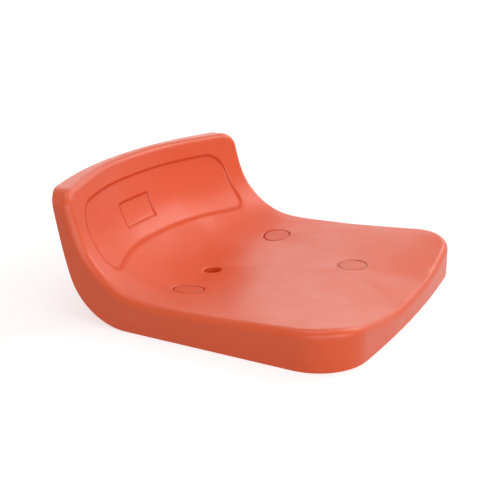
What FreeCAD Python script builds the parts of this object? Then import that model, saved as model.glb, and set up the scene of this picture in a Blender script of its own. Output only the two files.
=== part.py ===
import FreeCAD, Part
import math
import os

# Stadium seat: a moulded shell, and the three caps that close its fixing wells.
# Millimetres. +Z is up, the front edge faces -Y, the backrest stands at +Y, X runs along the width.
# Shapes are drawn with the front edge's middle at Y = 0. At the end they all move together, so that
# the origin lies on the ground under the middle of the seat. The shell is drawn solid between its
# two skins, where the real moulding is a sealed hollow.

# Overall form of the shell
seat_width = 430.0
seat_height = 170.0
ridge_radius = 10.0

# Outline from above at the front, and from the front at the top: a crown between round corners
front_crown_radius = 1750.0
front_corner_radius = 66.0
top_crown_radius = 12000.0
top_corner_radius = 24.0

# Foot and rear face, seen from the side
foot_to_back = 374.0
back_lean = 12.5
outer_bend_radius = 87.0

# Side rim of the upper face, seen from the side
rim_front_height = 51.0
rim_low_height = 41.0
rim_low_from_front = 225.0
sitting_depth = 352.0
inner_lean = 14.0
inner_bend_radius = 110.0

# Soft fall of the upper face over the front edge
front_fall = 8.0
front_fall_length = 32.0

# Dish of the upper face, measured square to the rim
dish_front_depth = 18.0
dish_middle_depth = 10.0
dish_rear_depth = 16.0
dish_back_depth = 12.0
dish_middle_from_front = 130.0
dish_floor_half_width = 45.0
rim_land = 8.0

# Rear half and backrest bowed to the rear between the side edges
back_bow = 42.0
bow_from_front = 130.0

# Fixing wells, one at the front and two at the rear
rear_fixing_spacing = 253.0
rear_fixing_from_front = 267.0
front_fixing_from_front = 109.0
front_fixing_offset = 48.0
bolt_hole_diameter = 9.0
well_floor_thickness = 5.0
well_draft = 6.0
well_step = 1.5

# Caps that press into the wells
cap_diameter = 40.0
cap_thickness = 2.4
cap_bevel = 0.5
skirt_diameter = 34.0
skirt_wall = 1.8
skirt_length = 8.0
skirt_slots = 4
skirt_slot_width = 3.0
cap_clearance = 0.3
socket_spare_depth = 1.0

# Drain through both skins
drain_diameter = 25.0
drain_from_front = 288.0
drain_offset = -30.0
drain_lip_radius = 2.0

# Sunk panel on the backrest, with a bare number field sunk in it
panel_half_width = 176.0
panel_bottom = 58.0
panel_top = 141.0
panel_bottom_radius = 20.0
panel_top_radius = 32.0
panel_depth = 1.6
field_width = 73.0
field_height = 33.0
field_bottom = 77.0
field_offset = -22.0
field_corner_radius = 1.5
field_depth = 1.6

# Conical dimples of the underside, whose tips meet the upper skin
dimple_mouth_diameter = 36.0
dimple_draft = 20.0
dimple_tip_skin = 5.0
dimple_spacing = 210.0
dimple_rows_from_front = (95.0, 185.0)

# How far sections and cutting tools run past the finished outline
overrun = 20.0

half_width = seat_width / 2
front_fixing = (front_fixing_offset, front_fixing_from_front)
rear_left_fixing = (-rear_fixing_spacing / 2, rear_fixing_from_front)
rear_right_fixing = (rear_fixing_spacing / 2, rear_fixing_from_front)


def vector(x, y, z):
    return FreeCAD.Vector(x, y, z)


def smooth(t):
    """Ease from 0 to 1 with level ends."""
    t = min(max(t, 0.0), 1.0)
    return t * t * (3 - 2 * t)


def rim_bend_start():
    """Distance from the front edge at which the rim starts to bend up to the backrest."""
    sweep = math.pi / 2 - math.radians(inner_lean)
    return sitting_depth - inner_bend_radius * math.tan(sweep / 2)


def rim_front_part():
    """Rim from past the front edge to the bend: (y, z, slope angle) along a falling wave."""
    wave = (rim_front_height - rim_low_height) / 2
    places = [-overrun, 0.0, front_fall_length / 2]
    steps = 5
    for step in range(steps):
        places.append(front_fall_length + (rim_bend_start() - front_fall_length) * step / steps)
    points = []
    for y in places:
        phase = math.pi * min(max(y / rim_low_from_front, 0.0), 1.0)
        z = rim_low_height + wave * (1 + math.cos(phase))
        slope = -wave * math.sin(phase) * math.pi / rim_low_from_front
        points.append((y, z, math.atan(slope)))
    return points


def rim_bend_part():
    """Rim round the bend from the seat to the backrest: (y, z, slope angle) on an arc."""
    sweep = math.pi / 2 - math.radians(inner_lean)
    steps = 5
    points = []
    for step in range(steps + 1):
        angle = sweep * step / steps
        y = rim_bend_start() + inner_bend_radius * math.sin(angle)
        z = rim_low_height + inner_bend_radius * (1 - math.cos(angle))
        points.append((y, z, angle))
    return points


def rim_back_part():
    """Rim up the backrest, past its top: (y, z, slope angle) on a straight line."""
    y_start, z_start, angle = rim_bend_part()[-1]
    z_end = seat_height + overrun
    steps = 2
    points = []
    for step in range(1, steps + 1):
        z = z_start + (z_end - z_start) * step / steps
        points.append((y_start + (z - z_start) / math.tan(angle), z, angle))
    return points


def dish_depth(x, y, z):
    """Depth of the upper face under the rim's line: the dish, and the fall over the front edge."""
    past_front = smooth(y / dish_middle_from_front)
    to_rear = smooth((y - dish_middle_from_front) / (rim_bend_start() - dish_middle_from_front))
    up_back = smooth((z - rim_low_height) / (seat_height - rim_low_height))
    depth = dish_front_depth + (dish_middle_depth - dish_front_depth) * past_front
    depth += (dish_rear_depth - dish_middle_depth) * to_rear
    if y > rim_bend_start():
        depth += (dish_back_depth - dish_rear_depth) * up_back
    slope_width = half_width - rim_land - dish_floor_half_width
    depth *= 1 - smooth((abs(x) - dish_floor_half_width) / slope_width)
    return depth + front_fall * max(1 - y / front_fall_length, 0.0) ** 2


def bow_shift(x, y):
    """How far a point moves to the rear, most in the middle of the width and in the backrest."""
    across = 1 - (x / half_width) ** 2
    along = smooth((y - bow_from_front) / (rim_bend_start() - bow_from_front))
    return back_bow * across * along


def distances(points):
    """Distance of each (y, z) point from the first one, along the chords."""
    reached = [0.0]
    for before, after in zip(points, points[1:]):
        reached.append(reached[-1] + math.dist(before[:2], after[:2]))
    return reached


def curve_through(points, knots):
    """Smooth curve through the points, with the knots that all sections' curves share."""
    curve = Part.BSplineCurve()
    curve.interpolate(Points=points, Parameters=knots)
    return curve


def upper_curve(x, inset):
    """Upper face at one place across the width, from the front to the top."""
    rim = rim_front_part() + rim_bend_part() + rim_back_part()
    points = []
    for y, z, angle in rim:
        depth = dish_depth(x, y, z) + inset
        points.append(vector(
            x,
            y + depth * math.sin(angle) + bow_shift(x, y),
            z - depth * math.cos(angle),
        ))
    return curve_through(points, distances(rim))


def rear_part():
    """Outer bend and rear face at the side edges, from the flat foot past the top: (y, z)."""
    lean = math.radians(back_lean)
    sweep = math.pi / 2 - lean
    bend_y = foot_to_back - outer_bend_radius * math.tan(sweep / 2)
    bend_steps = 5
    back_steps = 2
    points = []
    for step in range(bend_steps + 1):
        angle = sweep * step / bend_steps
        y = bend_y + outer_bend_radius * math.sin(angle)
        points.append((y, outer_bend_radius * (1 - math.cos(angle))))
    y_start, z_start = points[-1]
    rise = seat_height + overrun - z_start
    for step in range(1, back_steps + 1):
        height = rise * step / back_steps
        points.append((y_start + height * math.tan(lean), z_start + height))
    return points


def lower_curve(x):
    """Outer bend and rear face at one place across the width, from the flat foot to the top."""
    rear = rear_part()
    shift = bow_shift(x, foot_to_back)
    return curve_through([vector(x, y + shift, z) for y, z in rear], distances(rear))


def section(x, inset):
    """Closed side-view outline at one place across the width, its upper face set in."""
    upper = upper_curve(x, inset)
    lower = lower_curve(x)
    foot_front = vector(x, -overrun, 0)
    return Part.Wire([
        Part.LineSegment(foot_front, lower.StartPoint).toShape(),
        lower.toShape(),
        Part.LineSegment(lower.EndPoint, upper.EndPoint).toShape(),
        upper.toShape(),
        Part.LineSegment(upper.StartPoint, foot_front).toShape(),
    ])


def blank(inset):
    """Untrimmed seat, its upper face set in: a loft through side-view sections, on a flat foot."""
    steps = 10
    reach = half_width + overrun / 2
    sections = []
    for step in range(steps + 1):
        sections.append(section(reach * (2 * step / steps - 1), inset))
    loft = Part.makeLoft(sections, True)
    lowest = min(loft.Faces, key=lambda face: face.CenterOfMass.z)
    foot = Part.makeFace(lowest.OuterWire, "Part::FaceMakerBullseye")
    foot.reverse()
    others = [face for face in loft.Faces if not face.isSame(lowest)]
    return Part.makeSolid(Part.makeShell([foot, *others]))


def crowned_outline(width, crown_radius, corner_radius, length):
    """Flat face whose one end, at y = 0, is a shallow crown between two round corners."""
    corner_x = width / 2 - corner_radius
    corner_y = crown_radius - math.sqrt((crown_radius - corner_radius) ** 2 - corner_x ** 2)
    meeting = math.atan2(corner_x, crown_radius - corner_y)
    halfway = (meeting + math.pi / 2) / 2

    def on_corner(side, angle):
        x = corner_x + corner_radius * math.sin(angle)
        return vector(side * x, corner_y - corner_radius * math.cos(angle), 0)

    left_meeting = on_corner(-1, meeting)
    right_meeting = on_corner(1, meeting)
    left_side = on_corner(-1, math.pi / 2)
    right_side = on_corner(1, math.pi / 2)
    left_end = vector(-width / 2, length, 0)
    right_end = vector(width / 2, length, 0)
    return Part.Face(Part.Wire([
        Part.Arc(left_meeting, vector(0, 0, 0), right_meeting).toShape(),
        Part.Arc(right_meeting, on_corner(1, halfway), right_side).toShape(),
        Part.LineSegment(right_side, right_end).toShape(),
        Part.LineSegment(right_end, left_end).toShape(),
        Part.LineSegment(left_end, left_side).toShape(),
        Part.Arc(left_side, on_corner(-1, halfway), left_meeting).toShape(),
    ]))


def plan_prism():
    """Upright block with the seat's outline from above."""
    length = 2 * (foot_to_back + back_bow)
    face = crowned_outline(seat_width, front_crown_radius, front_corner_radius, length)
    face.translate(vector(0, 0, -overrun))
    return face.extrude(vector(0, 0, seat_height + 3 * overrun))


def top_prism():
    """Level block with the backrest's outline from the front."""
    length = seat_height + overrun
    face = crowned_outline(seat_width, top_crown_radius, top_corner_radius, length)
    face.rotate(vector(0, 0, 0), vector(1, 0, 0), -90)
    face.translate(vector(0, -overrun, seat_height))
    return face.extrude(vector(0, 2 * (foot_to_back + back_bow), 0))


def upper_face(body):
    """The sitting face: the curved face that reaches furthest round the outline."""
    curved = [face for face in body.Faces if face.Surface.TypeId == "Part::GeomBSplineSurface"]
    return max(curved, key=lambda face: len(face.OuterWire.Edges))


def moulding():
    """Seat without its details: the trimmed blank, rounded all along the sitting face's edge."""
    body = blank(0).common(plan_prism()).common(top_prism())
    return body.makeFillet(ridge_radius, upper_face(body).OuterWire.Edges)


def surface_frame(body, x, y):
    """Placement on the sitting face above a place on the ground, its z axis square to the face."""
    plumb = Part.LineSegment(vector(x, y, 0), vector(x, y, seat_height)).toShape()
    sitting = upper_face(body)
    point = sitting.distToShape(plumb)[1][0][0]
    normal = sitting.Surface.normal(*sitting.Surface.parameter(point))
    if normal.z < 0:
        normal = normal * -1
    return FreeCAD.Placement(point, FreeCAD.Rotation(vector(0, 0, 1), normal))


def well(frame):
    """Space of one fixing well.

    A seat for the cap's flange and a socket for its skirt lie square to the sitting face. A plumb
    tapered bore leads from there down to the floor that the bolt clamps.
    """
    socket_depth = cap_thickness + skirt_length + socket_spare_depth
    flange_seat = Part.makeCylinder(
        cap_diameter / 2 + cap_clearance, overrun + cap_thickness, vector(0, 0, -cap_thickness))
    socket = Part.makeCylinder(
        skirt_diameter / 2 + cap_clearance, overrun + socket_depth, vector(0, 0, -socket_depth))
    cap_space = flange_seat.fuse(socket)
    cap_space.Placement = frame
    foot = frame.Base
    bore_height = foot.z - cap_thickness - skirt_length - well_floor_thickness
    top_radius = skirt_diameter / 2 - well_step
    floor_radius = top_radius - bore_height * math.tan(math.radians(well_draft))
    bore = Part.makeCone(
        floor_radius, top_radius, bore_height, vector(foot.x, foot.y, well_floor_thickness))
    return cap_space.fuse(bore)


def bolt_hole(frame):
    """Clearance hole through the floor of a well."""
    return Part.makeCylinder(
        bolt_hole_diameter / 2,
        well_floor_thickness + cap_thickness,
        vector(frame.Base.x, frame.Base.y, -cap_thickness),
    )


def drain():
    """Space of the drain, plumb through the seat."""
    return Part.makeCylinder(
        drain_diameter / 2, seat_height, vector(drain_offset, drain_from_front, -overrun))


def dimple(body, x, y):
    """Space of one dimple under the sitting face."""
    height = surface_frame(body, x, y).Base.z - dimple_tip_skin
    tip_radius = dimple_mouth_diameter / 2 - height * math.tan(math.radians(dimple_draft))
    return Part.makeCone(dimple_mouth_diameter / 2, tip_radius, height, vector(x, y, 0))


def dimple_places():
    """Plan positions of the dimples, in rows across the underside."""
    return [(side * dimple_spacing / 2, y) for y in dimple_rows_from_front for side in (-1, 1)]


def front_view_block(width, bottom, top, bottom_radius, top_radius, middle):
    """Level block through the backrest, its front view a rectangle with round corners."""
    corners = [
        (middle - width / 2, bottom, 1, 1, bottom_radius),
        (middle + width / 2, bottom, -1, 1, bottom_radius),
        (middle + width / 2, top, -1, -1, top_radius),
        (middle - width / 2, top, 1, -1, top_radius),
    ]
    arcs = []
    for x, z, to_x, to_z, radius in corners:
        upright = vector(x, 0, z + to_z * radius)
        level = vector(x + to_x * radius, 0, z)
        inset = radius * (1 - math.sqrt(0.5))
        ends = [upright, level] if to_x == to_z else [level, upright]
        arcs.append(Part.Arc(ends[0], vector(x + to_x * inset, 0, z + to_z * inset), ends[1]))
    edges = []
    for number, arc in enumerate(arcs):
        following = arcs[(number + 1) % len(arcs)]
        edges.append(arc.toShape())
        edges.append(Part.LineSegment(arc.EndPoint, following.StartPoint).toShape())
    face = Part.Face(Part.Wire(edges))
    face.translate(vector(0, foot_to_back / 2, 0))
    return face.extrude(vector(0, foot_to_back, 0))


def panel_block():
    """Front-view block of the backrest's panel."""
    return front_view_block(
        2 * panel_half_width, panel_bottom, panel_top, panel_bottom_radius, panel_top_radius, 0)


def field_block():
    """Front-view block of the number field."""
    return front_view_block(
        field_width, field_bottom, field_bottom + field_height,
        field_corner_radius, field_corner_radius, field_offset)


def cap():
    """Round press-in cap: a bevelled flange over a slotted skirt, its top at z = 0."""
    flange = Part.makeCylinder(cap_diameter / 2, cap_thickness, vector(0, 0, -cap_thickness))
    rim = [edge for edge in flange.Edges if edge.Closed and edge.BoundBox.ZMin > -cap_bevel]
    flange = flange.makeChamfer(cap_bevel, rim)
    skirt_bottom = vector(0, 0, -cap_thickness - skirt_length)
    skirt = Part.makeCylinder(skirt_diameter / 2, skirt_length, skirt_bottom)
    skirt = skirt.cut(Part.makeCylinder(skirt_diameter / 2 - skirt_wall, skirt_length, skirt_bottom))
    for number in range(skirt_slots):
        slot = Part.makeBox(
            skirt_diameter, skirt_slot_width, skirt_length,
            skirt_bottom - vector(0, skirt_slot_width / 2, 0))
        slot.rotate(vector(0, 0, 0), vector(0, 0, 1), 45 + 360 * number / skirt_slots)
        skirt = skirt.cut(slot)
    return flange.fuse(skirt).removeSplitter()


def seat_shell(body, frames):
    """The moulded shell with its wells, drain, dimples and sunk panel."""
    shell = body.cut(drain())
    sitting = upper_face(shell)
    lip = [wire for wire in sitting.Wires if not wire.isSame(sitting.OuterWire)][0]
    shell = shell.makeFillet(drain_lip_radius, lip.Edges)
    for frame in frames:
        shell = shell.cut(well(frame)).cut(bolt_hole(frame))
    for x, y in dimple_places():
        shell = shell.cut(dimple(body, x, y))
    shell = shell.cut(panel_block().cut(blank(panel_depth)))
    return shell.cut(field_block().cut(blank(panel_depth + field_depth)))


def build():
    """All pieces by node name, moved so that the origin is under the middle of the seat."""
    body = moulding()
    fixings = {
        "front_cap": front_fixing,
        "rear_left_cap": rear_left_fixing,
        "rear_right_cap": rear_right_fixing,
    }
    frames = {name: surface_frame(body, *place) for name, place in fixings.items()}
    pieces = {"seat_shell": seat_shell(body, frames.values())}
    for name, frame in frames.items():
        piece = cap()
        piece.Placement = frame
        pieces[name] = piece
    middle = body.optimalBoundingBox().Center
    for piece in pieces.values():
        piece.translate(vector(-middle.x, -middle.y, 0))
    return pieces


os.makedirs("parts", exist_ok=True)
for node, shape in build().items():
    shape.exportStep("parts/" + node + ".step")
    print(node, shape.isValid(), len(shape.Solids), len(shape.Faces), round(shape.Volume), shape.BoundBox)
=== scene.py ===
import math

import bpy
from mathutils import Matrix, Vector


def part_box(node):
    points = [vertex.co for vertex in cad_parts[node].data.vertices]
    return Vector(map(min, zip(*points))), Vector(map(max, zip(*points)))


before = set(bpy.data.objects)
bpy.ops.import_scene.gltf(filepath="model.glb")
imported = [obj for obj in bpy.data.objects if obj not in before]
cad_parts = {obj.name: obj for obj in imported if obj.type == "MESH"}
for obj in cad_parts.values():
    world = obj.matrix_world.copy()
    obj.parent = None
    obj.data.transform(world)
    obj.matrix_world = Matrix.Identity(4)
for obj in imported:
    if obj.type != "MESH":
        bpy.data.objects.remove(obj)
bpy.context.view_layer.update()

# Stadium seat on a white studio floor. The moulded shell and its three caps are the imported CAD
# solids. This script gives them their plastics, the light, the floor and the camera. Sizes are in
# metres.

# Camera
# The photograph looks down from the front left, a little rolled. The camera's place and lens come
# from the seat's own edges and outline, back-projected onto the CAD model.
sensor_width_mm = 36.0
focal_length_mm = 62.86
camera_place = (-1.0162, -0.5417, 0.4519)
azimuth = math.radians(-61.185)
elevation = math.radians(19.048)
roll = math.radians(-0.623)

camera_data = bpy.data.cameras.new("camera")
camera_data.sensor_width = sensor_width_mm
camera_data.lens = focal_length_mm
camera = bpy.data.objects.new("camera", camera_data)
bpy.context.scene.collection.objects.link(camera)
bpy.context.scene.camera = camera

towards_camera = Vector((
    math.sin(azimuth) * math.cos(elevation),
    -math.cos(azimuth) * math.cos(elevation),
    math.sin(elevation),
))
turn = towards_camera.to_track_quat("Z", "Y").to_matrix() @ Matrix.Rotation(roll, 3, "Z")
camera.matrix_world = Matrix.Translation(camera_place) @ turn.to_4x4()

# Floor
# A white paper sweep. It takes the seat's soft shadow, and glows just enough for the camera to
# reach the pure white of the photograph's background, more so further off, where less light falls.
floor_size = 40.0
floor_below_foot = 0.0005
paper_white = (0.6, 0.6, 0.6, 1.0)
lit_within = 0.4
unlit_beyond = 2.5
glow_where_lit = 0.62
glow_where_unlit = 0.95
pure_white = (1.0, 1.0, 1.0, 1.0)


class Nodes:
    """Node tree of a material or of the world, emptied and then built node by node."""

    def __init__(self, owner):
        owner.use_nodes = True
        self.tree = owner.node_tree
        self.tree.nodes.clear()

    def add(self, kind, **settings):
        """New node, with its inputs and its other settings given by name."""
        node = self.tree.nodes.new("ShaderNode" + kind)
        for name, value in settings.items():
            if name in node.inputs:
                node.inputs[name].default_value = value
            else:
                setattr(node, name, value)
        return node

    def link(self, source, target):
        """Lead one node's output to another's input."""
        self.tree.links.new(source, target)

    def calculate(self, operation, *terms):
        """Result of a Math node on numbers and on other nodes' outputs."""
        node = self.add("Math", operation=operation)
        for term, entry in zip(terms, node.inputs):
            if isinstance(term, bpy.types.NodeSocket):
                self.link(term, entry)
            else:
                entry.default_value = term
        return node.outputs["Value"]

    def ramp(self, value, start, end, low=0.0, high=1.0, **settings):
        """Number that runs from low to high while the value runs from start to end."""
        node = self.add("MapRange", **settings)
        node.inputs["From Min"].default_value = start
        node.inputs["From Max"].default_value = end
        node.inputs["To Min"].default_value = low
        node.inputs["To Max"].default_value = high
        self.link(value, node.inputs["Value"])
        return node.outputs["Result"]

    def seen_by_camera(self):
        """1 for what the camera sees, also in a reflection or through glass, and else 0."""
        rays = self.add("LightPath").outputs
        straight_or_mirrored = self.calculate(
            "MAXIMUM", rays["Is Camera Ray"], rays["Is Glossy Ray"])
        return self.calculate("MAXIMUM", straight_or_mirrored, rays["Is Transmission Ray"])


bpy.ops.object.select_all(action="DESELECT")
bpy.ops.mesh.primitive_plane_add(size=floor_size, location=(0.0, 0.0, -floor_below_foot))
floor = bpy.context.active_object
floor.name = "floor"

floor_paper = bpy.data.materials.new("floor_paper")
nodes = Nodes(floor_paper)
paper = nodes.add("BsdfDiffuse", Color=paper_white)
from_middle = nodes.add("VectorMath", operation="LENGTH")
nodes.link(nodes.add("TexCoord").outputs["Object"], from_middle.inputs["Vector"])
fade = nodes.ramp(
    from_middle.outputs["Value"], lit_within, unlit_beyond, glow_where_lit, glow_where_unlit)
glow = nodes.add("Emission", Color=pure_white)
nodes.link(nodes.calculate("MULTIPLY", fade, nodes.seen_by_camera()), glow.inputs["Strength"])
paper_and_glow = nodes.add("AddShader")
nodes.link(paper.outputs["BSDF"], paper_and_glow.inputs[0])
nodes.link(glow.outputs["Emission"], paper_and_glow.inputs[1])
nodes.link(paper_and_glow.outputs["Shader"], nodes.add("OutputMaterial").inputs["Surface"])
floor.data.materials.append(floor_paper)

# Studio light
# White surroundings, and large soft lamps above and in front. Less light comes from the left, so
# the seat's side stays in shade. A low lamp behind on the right gives the sitting face its pale
# sheen, and a lower one lights the back.
surroundings_light = 0.14
surroundings_seen = 1.0
lamps_aim_at = Vector((0.0, 0.0, 0.1))

# Each lamp's name, place, width and height, and power in watts
lamps = (
    ("overhead", (0.0, 0.0, 2.2), (1.6, 1.2), 9.5),
    ("beside_camera", (-1.7, -1.0, 0.8), (1.3, 1.3), 10.0),
    ("front", (-0.6, -2.0, 0.8), (1.3, 1.0), 13.0),
    ("front_right", (1.4, -0.8, 1.5), (1.3, 1.3), 15.5),
    ("behind_right", (1.9, 1.1, 0.75), (3.2, 1.3), 8.0),
    ("behind", (-0.6, 2.0, 0.6), (1.3, 1.0), 11.0),
)

world = bpy.data.worlds.new("studio")
bpy.context.scene.world = world
nodes = Nodes(world)
background = nodes.add("Background", Color=pure_white)
strength = nodes.ramp(nodes.seen_by_camera(), 0.0, 1.0, surroundings_light, surroundings_seen)
nodes.link(strength, background.inputs["Strength"])
nodes.link(background.outputs["Background"], nodes.add("OutputWorld").inputs["Surface"])

for lamp_name, lamp_place, lamp_size, lamp_power in lamps:
    lamp = bpy.data.lights.new(lamp_name, "AREA")
    lamp.shape = "RECTANGLE"
    lamp.size, lamp.size_y = lamp_size
    lamp.energy = lamp_power
    holder = bpy.data.objects.new(lamp_name, lamp)
    bpy.context.scene.collection.objects.link(holder)
    facing = (Vector(lamp_place) - lamps_aim_at).to_track_quat("Z", "Y").to_matrix()
    holder.matrix_world = Matrix.Translation(lamp_place) @ facing.to_4x4()

# Shell
# One blow-moulded double-walled body in satin coral polyethylene, coloured in the mass, with the
# faint orange peel and ripple of its mould, and soft edges round the panel, the field and the wells.
plastic_ior = 1.54
# Painted shade: within this reach, ambient occlusion darkens the colour in creases and recesses.
painted_shade_reach = 0.005
openness_without_painted_shade = 0.9
openness_of_full_painted_shade = 0.35
painted_shade_share = 0.55
dullness_spread = 0.05
ripple_height = 0.0012
orange_peel_height = 0.00012

# Panel and number field, sunk in the backrest, by their x and z as seen from the front
panel = {
    "middle": (0.0, 0.0995),
    "half_size": (0.176, 0.0415),
    "bottom_radius": 0.020,
    "top_radius": 0.032,
}
number_field = {
    "middle": (-0.022, 0.0935),
    "half_size": (0.0365, 0.0165),
    "bottom_radius": 0.0015,
    "top_radius": 0.0015,
}
sunk_edge_reach = 0.0032
sunk_edge_depth = 0.0026

cap_names = ("front_cap", "rear_left_cap", "rear_right_cap")
cap_radius = 0.020
cap_edge_width = 0.003
cap_edge_depth = 0.0018

# The caps lie aslant, so the middle of a cap's face is lower than the cap's highest point.
cap_middle_below_top = 0.0025
cap_middles = []
for cap_name in cap_names:
    low, high = (Vector(corner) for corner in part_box(cap_name))
    middle_x, middle_y = (low.x + high.x) / 2, (low.y + high.y) / 2
    cap_middles.append(Vector((middle_x, middle_y, high.z - cap_middle_below_top)))


def outline_distance(nodes, place, middle, half_size, bottom_radius, top_radius):
    """Distance outside a rounded rectangle as seen from the front, and below 0 inside it."""
    calculate = nodes.calculate
    parts = nodes.add("SeparateXYZ")
    nodes.link(place, parts.inputs["Vector"])
    aside = calculate("ABSOLUTE", calculate("SUBTRACT", parts.outputs["X"], middle[0]))
    rise = calculate("SUBTRACT", parts.outputs["Z"], middle[1])
    in_top_half = calculate("GREATER_THAN", rise, 0.0)
    radius_step = calculate("MULTIPLY", in_top_half, top_radius - bottom_radius)
    radius = calculate("ADD", radius_step, bottom_radius)
    past_x = calculate("ADD", calculate("SUBTRACT", aside, half_size[0]), radius)
    height = calculate("ABSOLUTE", rise)
    past_z = calculate("ADD", calculate("SUBTRACT", height, half_size[1]), radius)
    outer_x = calculate("POWER", calculate("MAXIMUM", past_x, 0.0), 2.0)
    outer_z = calculate("POWER", calculate("MAXIMUM", past_z, 0.0), 2.0)
    outer = calculate("SQRT", calculate("ADD", outer_x, outer_z))
    inner = calculate("MINIMUM", calculate("MAXIMUM", past_x, past_z), 0.0)
    return calculate("SUBTRACT", calculate("ADD", outer, inner), radius)


def distance_from(nodes, place, middle):
    """Distance from a point of the seat."""
    reach = nodes.add("VectorMath", operation="DISTANCE")
    reach.inputs[1].default_value = middle
    nodes.link(place, reach.inputs[0])
    return reach.outputs["Value"]


def turned_to_front(nodes):
    """1 on faces turned to the front, so that the rear of the backrest stays plain, and else 0."""
    facing = nodes.add("SeparateXYZ")
    nodes.link(nodes.add("NewGeometry").outputs["Normal"], facing.inputs["Vector"])
    hardly_turned = -0.05
    plainly_turned = -0.25
    return nodes.ramp(facing.outputs["Y"], hardly_turned, plainly_turned)


def rounded_edge(nodes, distance, low, high, depth, only_where=None, normal=None):
    """Bump normal of a moulded edge that rises softly from one distance to another."""
    height = nodes.ramp(distance, low, high, interpolation_type="SMOOTHSTEP")
    if only_where:
        height = nodes.calculate("MULTIPLY", height, only_where)
    bump = nodes.add("Bump", Strength=1.0, Distance=depth)
    nodes.link(height, bump.inputs["Height"])
    if normal:
        nodes.link(normal, bump.inputs["Normal"])
    return bump.outputs["Normal"]


def uneven_face(nodes, place, normal, height, strength, **pattern):
    """Bump normal of an uneven face, by a noise of the pattern given, on top of another normal."""
    noise = nodes.add("TexNoise", **pattern)
    nodes.link(place, noise.inputs["Vector"])
    bump = nodes.add("Bump", Strength=strength, Distance=height)
    nodes.link(noise.outputs["Fac"], bump.inputs["Height"])
    nodes.link(normal, bump.inputs["Normal"])
    return bump.outputs["Normal"]


def moulded_plastic(name, colour, other_colour, painted_shade_colour, roughness, edges):
    """Moulded plastic: cloudy pigment, painted shade in creases and recesses, rubbed and dull
    patches, orange peel.
    """
    material = bpy.data.materials.new(name)
    nodes = Nodes(material)
    place = nodes.add("TexCoord").outputs["Object"]

    clouds = nodes.add("TexNoise", Scale=14.0, Detail=4.0, Roughness=0.6)
    nodes.link(place, clouds.inputs["Vector"])
    pigment = nodes.add("MixRGB", Color1=colour, Color2=other_colour)
    nodes.link(clouds.outputs["Fac"], pigment.inputs["Fac"])

    # Painted shade: ambient occlusion darkens the colour in creases, round the wells and along the
    # panel's step.
    crease_occlusion = nodes.add("AmbientOcclusion", Distance=painted_shade_reach, samples=16, only_local=True)
    surface = nodes.add("MixRGB", Color2=painted_shade_colour)
    shade = nodes.ramp(crease_occlusion.outputs["AO"], openness_without_painted_shade, openness_of_full_painted_shade, 0.0, painted_shade_share)
    nodes.link(shade, surface.inputs["Fac"])
    nodes.link(pigment.outputs["Color"], surface.inputs["Color1"])

    handling = nodes.add("TexNoise", Scale=38.0, Detail=6.0, Roughness=0.65)
    nodes.link(place, handling.inputs["Vector"])
    least_dull = roughness - dullness_spread
    most_dull = roughness + dullness_spread
    dullness = nodes.ramp(handling.outputs["Fac"], 0.3, 0.7, least_dull, most_dull)

    softened = edges(nodes, place)
    rippled = uneven_face(
        nodes, place, softened, height=ripple_height, strength=0.25, Scale=26.0, Detail=1.0)
    peeled = uneven_face(
        nodes, place, rippled, height=orange_peel_height, strength=0.3, Scale=420.0, Detail=2.0)

    plastic = nodes.add("BsdfPrincipled", IOR=plastic_ior)
    nodes.link(surface.outputs["Color"], plastic.inputs["Base Color"])
    nodes.link(dullness, plastic.inputs["Roughness"])
    nodes.link(peeled, plastic.inputs["Normal"])
    nodes.link(plastic.outputs["BSDF"], nodes.add("OutputMaterial").inputs["Surface"])
    return material


def shell_edges(nodes, place):
    """Soft edges of the panel, of the number field in it, and round the three wells."""
    front_only = turned_to_front(nodes)
    normal = None
    for shape in (panel, number_field):
        distance = outline_distance(nodes, place, **shape)
        normal = rounded_edge(
            nodes, distance, -sunk_edge_reach, sunk_edge_reach, sunk_edge_depth, front_only, normal)
    for middle in cap_middles:
        distance = distance_from(nodes, place, middle)
        normal = rounded_edge(
            nodes, distance, cap_radius, cap_radius + cap_edge_width, cap_edge_depth, normal=normal)
    return normal


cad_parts["seat_shell"].material_slots[0].material = moulded_plastic(
    "coral_polyethylene",
    colour=(0.86, 0.105, 0.022, 1.0),
    other_colour=(0.83, 0.095, 0.018, 1.0),
    # Colour of the painted shade in the shell's creases and recesses.
    painted_shade_colour=(0.45, 0.03, 0.004, 1.0),
    roughness=0.36,
    edges=shell_edges,
)

# Caps
# Three injection-moulded caps in a slightly duller plastic, with rounded rims. They are pressed
# into the wells over the bolts.
for cap_name, cap_middle in zip(cap_names, cap_middles):

    def cap_edge(nodes, place, middle=cap_middle):
        """Rounded rim of this cap."""
        distance = distance_from(nodes, place, middle)
        return rounded_edge(
            nodes, distance, cap_radius, cap_radius - cap_edge_width, cap_edge_depth)

    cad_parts[cap_name].material_slots[0].material = moulded_plastic(
        cap_name + "_plastic",
        colour=(0.80, 0.10, 0.022, 1.0),
        other_colour=(0.77, 0.088, 0.018, 1.0),
        # Colour of the painted shade round the cap's rim.
        painted_shade_colour=(0.42, 0.03, 0.004, 1.0),
        roughness=0.42,
        edges=cap_edge,
    )

# Picture
# Colours are shown as they are written.
bpy.context.scene.view_settings.view_transform = "Standard"
